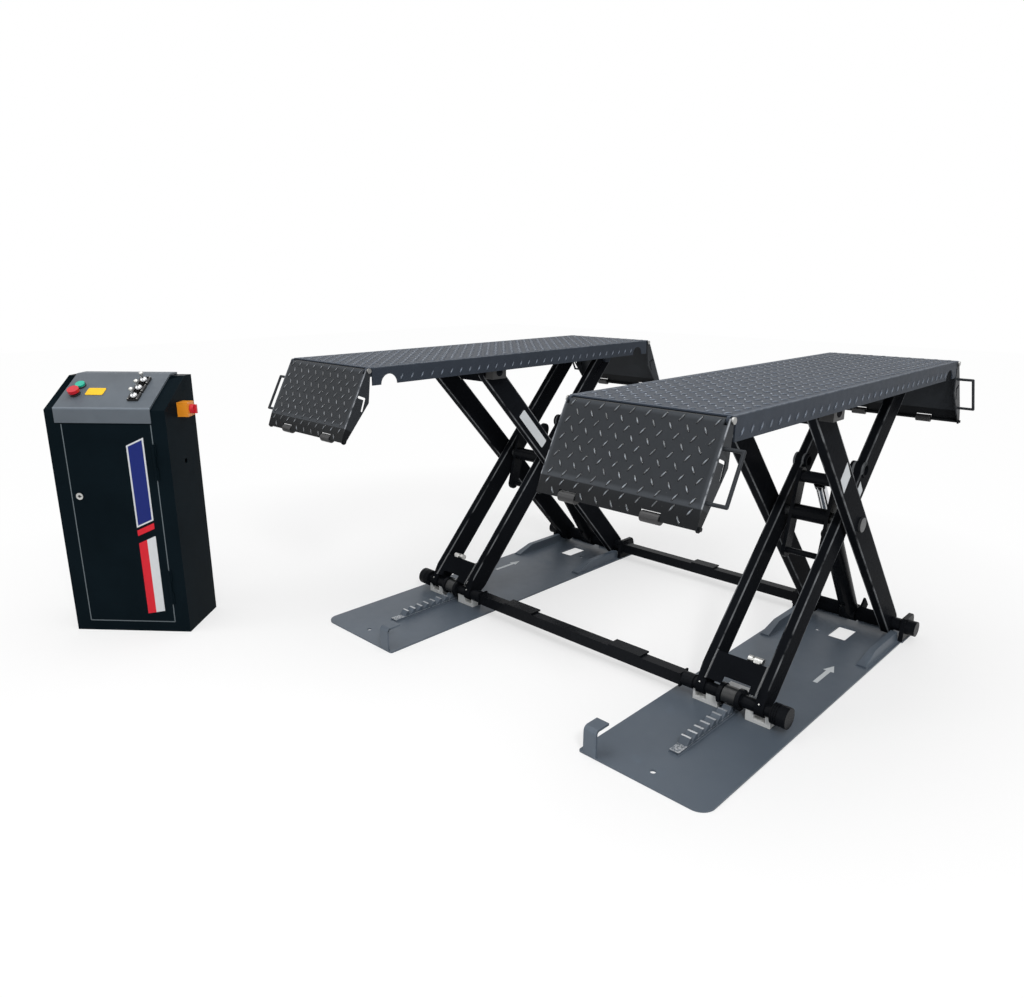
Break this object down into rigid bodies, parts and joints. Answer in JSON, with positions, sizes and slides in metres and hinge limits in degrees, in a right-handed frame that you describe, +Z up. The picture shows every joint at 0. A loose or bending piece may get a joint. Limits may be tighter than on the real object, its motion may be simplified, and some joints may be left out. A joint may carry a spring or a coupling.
{
  "type": "portable scissor car lift",
  "caption": "Portable scissor lift for cars: low base plates, crossed arms, tread-plate decks with drive-on ramps, hydraulic cylinders, tie beams and a separate control cabinet.",
  "frame": {"origin": "bottom centre of the whole object's box at rest, on the floor", "axes": "+Z up; +Y from the front ramps, nearest the cabinet, to the rear shafts; +X from the left platform to the right one"},
  "size_m": [2.5266, 2.316, 1.0224],
  "materials": {
    "arm_paint": "glossy black paint",
    "base_paint": "satin blue-grey paint",
    "deck_paint": "blue-grey painted tread plate",
    "ramp_paint": "glossy black painted tread plate",
    "bright_steel": "bare steel",
    "white_nylon": "off-white nylon",
    "black_nylon": "black nylon",
    "chrome_rod": "polished chrome",
    "cabinet_paint": "near-black navy paint",
    "hood_paint": "satin mid-grey paint",
    "motor_iron": "grey painted iron",
    "tank_paint": "black paint",
    "black_plastic": "black plastic",
    "green_plastic": "green button",
    "red_plastic": "red button",
    "yellow_plastic": "orange-yellow switch box"
  },
  "bodies": {
    "root": {"right_base_plate": "base_paint", "left_base_plate": "base_paint", "right_rack": "base_paint", "left_rack": "base_paint", "side_curbs": "base_paint", "foot_stops": "base_paint", "right_rear_bearings": "arm_paint", "left_rear_bearings": "arm_paint", "right_rear_shaft": "arm_paint", "left_rear_shaft": "arm_paint", "rear_cross_beam": "arm_paint", "cabinet_shell": "cabinet_paint", "cabinet_hood": "hood_paint", "cabinet_oil_tank": "tank_paint", "cabinet_motor_pump": "motor_iron", "cabinet_panel_fittings": "black_plastic", "cabinet_main_switch": "yellow_plastic"},
    "right_outer": {"right_outer_arms": "arm_paint", "right_centre_shaft": "bright_steel"},
    "right_inner": {"right_inner_arms": "arm_paint", "right_release_fitting": "bright_steel"},
    "right_lever": {"right_lever_frame": "arm_paint"},
    "right_barrel": {"right_cylinder_barrel": "arm_paint"},
    "right_rod": {"right_cylinder_rod": "chrome_rod"},
    "right_slider": {"right_slider_shaft": "arm_paint", "right_slide_blocks": "white_nylon", "front_cross_beam": "arm_paint"},
    "right_pawl": {"right_safety_pawl": "bright_steel"},
    "right_deck_body": {"right_deck": "deck_paint", "right_deck_hinge_pins": "bright_steel"},
    "right_glides": {"right_top_slide_blocks": "white_nylon"},
    "right_front_ramp_body": {"right_front_ramp": "ramp_paint"},
    "right_front_roller_pair": {"right_front_rollers": "black_nylon"},
    "right_rear_ramp_body": {"right_rear_ramp": "ramp_paint"},
    "right_rear_roller_pair": {"right_rear_rollers": "black_nylon"},
    "left_outer": {"left_outer_arms": "arm_paint", "left_centre_shaft": "bright_steel"},
    "left_inner": {"left_inner_arms": "arm_paint", "left_release_fitting": "bright_steel"},
    "left_lever": {"left_lever_frame": "arm_paint"},
    "left_barrel": {"left_cylinder_barrel": "arm_paint"},
    "left_rod": {"left_cylinder_rod": "chrome_rod"},
    "left_slider": {"left_slider_shaft": "arm_paint", "left_slide_blocks": "white_nylon"},
    "left_pawl": {"left_safety_pawl": "bright_steel"},
    "left_deck_body": {"left_deck": "deck_paint", "left_deck_hinge_pins": "bright_steel"},
    "left_glides": {"left_top_slide_blocks": "white_nylon"},
    "left_front_ramp_body": {"left_front_ramp": "ramp_paint"},
    "left_front_roller_pair": {"left_front_rollers": "black_nylon"},
    "left_rear_ramp_body": {"left_rear_ramp": "ramp_paint"},
    "left_rear_roller_pair": {"left_rear_rollers": "black_nylon"},
    "cabinet_door_body": {"cabinet_door": "cabinet_paint"},
    "cabinet_lock_body": {"cabinet_door_lock": "bright_steel"},
    "valve_front": {"cabinet_valve_lever_front": "bright_steel"},
    "valve_middle": {"cabinet_valve_lever_middle": "bright_steel"},
    "valve_rear": {"cabinet_valve_lever_rear": "bright_steel"},
    "green_button_body": {"cabinet_green_button": "green_plastic"},
    "red_button_body": {"cabinet_red_button": "red_plastic"},
    "switch_knob_body": {"cabinet_main_switch_knob": "red_plastic"}
  },
  "joints": [
    {"name": "right_fold", "type": "hinge", "parent": "root", "child": "right_outer", "pos_m": [0.98884, 0.93996, 0.057], "axis": [1, 0, 0], "range_deg": [0, 46]},
    {"name": "right_cross", "type": "hinge", "parent": "right_outer", "child": "right_inner", "pos_m": [0.98884, 0.48881, 0.5442], "axis": [1, 0, 0], "range_deg": [-92, 0]},
    {"name": "right_deck_level", "type": "hinge", "parent": "right_inner", "child": "right_deck_body", "pos_m": [0.98884, 0.86997, 0.95582], "axis": [1, 0, 0], "range_deg": [0, 46]},
    {"name": "right_slider_level", "type": "hinge", "parent": "right_inner", "child": "right_slider", "pos_m": [0.98884, 0.03766, 0.057], "axis": [1, 0, 0], "range_deg": [0, 46]},
    {"name": "right_glide_level", "type": "hinge", "parent": "right_outer", "child": "right_glides", "pos_m": [0.98884, 0.10764, 0.95582], "axis": [1, 0, 0], "range_deg": [-46, 0]},
    {"name": "right_lever_rock", "type": "hinge", "parent": "right_inner", "child": "right_lever", "pos_m": [0.98884, 0.48881, 0.5442], "axis": [1, 0, 0], "range_deg": [-18.4, 0]},
    {"name": "right_barrel_swing", "type": "hinge", "parent": "root", "child": "right_barrel", "pos_m": [0.98884, 0.93996, 0.057], "axis": [1, 0, 0], "range_deg": [0, 51.23]},
    {"name": "right_rod_slide", "type": "slide", "parent": "right_barrel", "child": "right_rod", "axis": [0, -0.5722, 0.8201], "range_m": [-0.20626, 0]},
    {"name": "right_pawl_lift", "type": "hinge", "parent": "right_slider", "child": "right_pawl", "pos_m": [0.98884, 0.03766, 0.057], "axis": [1, 0, 0], "range_deg": [0, 12]},
    {"name": "right_front_ramp_hinge", "type": "hinge", "parent": "right_deck_body", "child": "right_front_ramp_body", "pos_m": [0.98884, -0.50104, 1.01242], "axis": [-1, 0, 0], "range_deg": [0, 62.3]},
    {"name": "right_front_roller_spin", "type": "hinge", "parent": "right_front_ramp_body", "child": "right_front_roller_pair", "pos_m": [0.98884, -0.60813, 0.7982], "axis": [1, 0, 0], "continuous": true},
    {"name": "right_rear_ramp_hinge", "type": "hinge", "parent": "right_deck_body", "child": "right_rear_ramp_body", "pos_m": [0.98884, 1.03796, 1.01242], "axis": [1, 0, 0], "range_deg": [0, 62.3]},
    {"name": "right_rear_roller_spin", "type": "hinge", "parent": "right_rear_ramp_body", "child": "right_rear_roller_pair", "pos_m": [0.98884, 1.14504, 0.7982], "axis": [1, 0, 0], "continuous": true},
    {"name": "left_fold", "type": "hinge", "parent": "root", "child": "left_outer", "pos_m": [-0.29116, 0.93996, 0.057], "axis": [1, 0, 0], "range_deg": [0, 46]},
    {"name": "left_cross", "type": "hinge", "parent": "left_outer", "child": "left_inner", "pos_m": [-0.29116, 0.48881, 0.5442], "axis": [1, 0, 0], "range_deg": [-92, 0]},
    {"name": "left_deck_level", "type": "hinge", "parent": "left_inner", "child": "left_deck_body", "pos_m": [-0.29116, 0.86997, 0.95582], "axis": [1, 0, 0], "range_deg": [0, 46]},
    {"name": "left_slider_level", "type": "hinge", "parent": "left_inner", "child": "left_slider", "pos_m": [-0.29116, 0.03766, 0.057], "axis": [1, 0, 0], "range_deg": [0, 46]},
    {"name": "left_glide_level", "type": "hinge", "parent": "left_outer", "child": "left_glides", "pos_m": [-0.29116, 0.10764, 0.95582], "axis": [1, 0, 0], "range_deg": [-46, 0]},
    {"name": "left_lever_rock", "type": "hinge", "parent": "left_inner", "child": "left_lever", "pos_m": [-0.29116, 0.48881, 0.5442], "axis": [1, 0, 0], "range_deg": [-18.4, 0]},
    {"name": "left_barrel_swing", "type": "hinge", "parent": "root", "child": "left_barrel", "pos_m": [-0.29116, 0.93996, 0.057], "axis": [1, 0, 0], "range_deg": [0, 51.23]},
    {"name": "left_rod_slide", "type": "slide", "parent": "left_barrel", "child": "left_rod", "axis": [0, -0.5722, 0.8201], "range_m": [-0.20626, 0]},
    {"name": "left_pawl_lift", "type": "hinge", "parent": "left_slider", "child": "left_pawl", "pos_m": [-0.29116, 0.03766, 0.057], "axis": [1, 0, 0], "range_deg": [0, 12]},
    {"name": "left_front_ramp_hinge", "type": "hinge", "parent": "left_deck_body", "child": "left_front_ramp_body", "pos_m": [-0.29116, -0.50104, 1.01242], "axis": [-1, 0, 0], "range_deg": [0, 62.3]},
    {"name": "left_front_roller_spin", "type": "hinge", "parent": "left_front_ramp_body", "child": "left_front_roller_pair", "pos_m": [-0.29116, -0.60813, 0.7982], "axis": [1, 0, 0], "continuous": true},
    {"name": "left_rear_ramp_hinge", "type": "hinge", "parent": "left_deck_body", "child": "left_rear_ramp_body", "pos_m": [-0.29116, 1.03796, 1.01242], "axis": [1, 0, 0], "range_deg": [0, 62.3]},
    {"name": "left_rear_roller_spin", "type": "hinge", "parent": "left_rear_ramp_body", "child": "left_rear_roller_pair", "pos_m": [-0.29116, 1.14504, 0.7982], "axis": [1, 0, 0], "continuous": true},
    {"name": "cabinet_door_hinge", "type": "hinge", "parent": "root", "child": "cabinet_door_body", "pos_m": [-0.81532, -0.90924, 0.4235], "axis": [0, 0, 1], "range_deg": [0, 110]},
    {"name": "cabinet_lock_turn", "type": "hinge", "parent": "cabinet_door_body", "child": "cabinet_lock_body", "pos_m": [-1.04426, -1.10162, 0.53], "axis": [0.6561, -0.7547, 0], "range_deg": [0, 90]},
    {"name": "valve_front_swing", "type": "hinge", "parent": "root", "child": "valve_front", "pos_m": [-0.90517, -0.91714, 0.8883], "axis": [0.7547, 0.6561, 0], "range_deg": [-20, 20]},
    {"name": "valve_middle_swing", "type": "hinge", "parent": "root", "child": "valve_middle", "pos_m": [-0.93213, -0.88613, 0.91112], "axis": [0.7547, 0.6561, 0], "range_deg": [-20, 20]},
    {"name": "valve_rear_swing", "type": "hinge", "parent": "root", "child": "valve_rear", "pos_m": [-0.95908, -0.85513, 0.93395], "axis": [0.7547, 0.6561, 0], "range_deg": [-20, 20]},
    {"name": "green_button_press", "type": "slide", "parent": "root", "child": "green_button_body", "axis": [-0.3186, 0.3665, -0.8742], "range_m": [0, 0.004], "stiffness_N_per_m": 500, "springref_m": -0.003},
    {"name": "red_button_press", "type": "slide", "parent": "root", "child": "red_button_body", "axis": [-0.3186, 0.3665, -0.8742], "range_m": [0, 0.004], "stiffness_N_per_m": 500, "springref_m": -0.003},
    {"name": "main_switch_turn", "type": "hinge", "parent": "root", "child": "switch_knob_body", "pos_m": [-0.82563, -0.75257, 0.835], "axis": [0.7547, 0.6561, 0], "range_deg": [0, 90]}
  ],
  "couplings": [
    {"joint": "right_cross", "follows": "right_fold", "ratio": -2},
    {"joint": "right_deck_level", "follows": "right_fold", "ratio": 1},
    {"joint": "right_slider_level", "follows": "right_fold", "ratio": 1},
    {"joint": "right_glide_level", "follows": "right_fold", "ratio": -1},
    {"joint": "right_lever_rock", "follows": "right_fold", "ratio": -0.4},
    {"joint": "right_barrel_swing", "follows": "right_fold", "ratio": 1.1137},
    {"joint": "right_rod_slide", "follows": "right_fold", "m_per_rad": -0.2569},
    {"joint": "left_fold", "follows": "right_fold", "ratio": 1},
    {"joint": "left_cross", "follows": "right_fold", "ratio": -2},
    {"joint": "left_deck_level", "follows": "right_fold", "ratio": 1},
    {"joint": "left_slider_level", "follows": "right_fold", "ratio": 1},
    {"joint": "left_glide_level", "follows": "right_fold", "ratio": -1},
    {"joint": "left_lever_rock", "follows": "right_fold", "ratio": -0.4},
    {"joint": "left_barrel_swing", "follows": "right_fold", "ratio": 1.1137},
    {"joint": "left_rod_slide", "follows": "right_fold", "m_per_rad": -0.2569}
  ]
}
